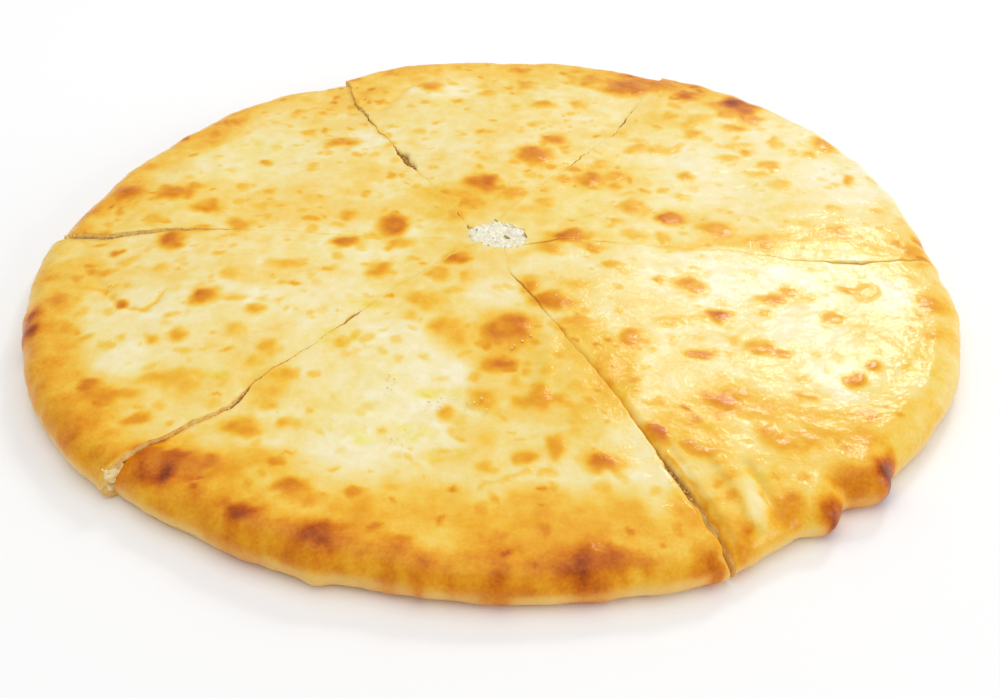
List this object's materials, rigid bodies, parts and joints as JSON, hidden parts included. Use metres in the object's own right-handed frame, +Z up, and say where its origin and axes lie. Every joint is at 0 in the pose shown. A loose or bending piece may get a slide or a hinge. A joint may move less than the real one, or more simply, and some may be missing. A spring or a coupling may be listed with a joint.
{
  "type": "round cheese khachapuri",
  "caption": "Round flat khachapuri bread, baked golden and cut into wedges that still lie together, with curd cheese inside that shows at the cuts and in the torn middle.",
  "frame": {"origin": "middle of the bread's footprint, on its flat underside", "axes": "+Z up through the bread; +X to the right and -Y towards the slice named front"},
  "size_m": [0.3284, 0.3124, 0.0183],
  "materials": {
    "baked_crust": "baked wheat dough, cream to golden with brown blisters, brushed with butter",
    "curd_cheese": "moist white curd cheese, crumbly"
  },
  "bodies": {
    "root": {"crust_right_back": "baked_crust", "cheese_right_back": "curd_cheese", "crust_back": "baked_crust", "cheese_back": "curd_cheese", "crust_left_back": "baked_crust", "cheese_left_back": "curd_cheese", "crust_left": "baked_crust", "cheese_left": "curd_cheese", "crust_front": "baked_crust", "cheese_front": "curd_cheese", "crust_right_front": "baked_crust", "cheese_right_front": "curd_cheese"}
  },
  "joints": []
}
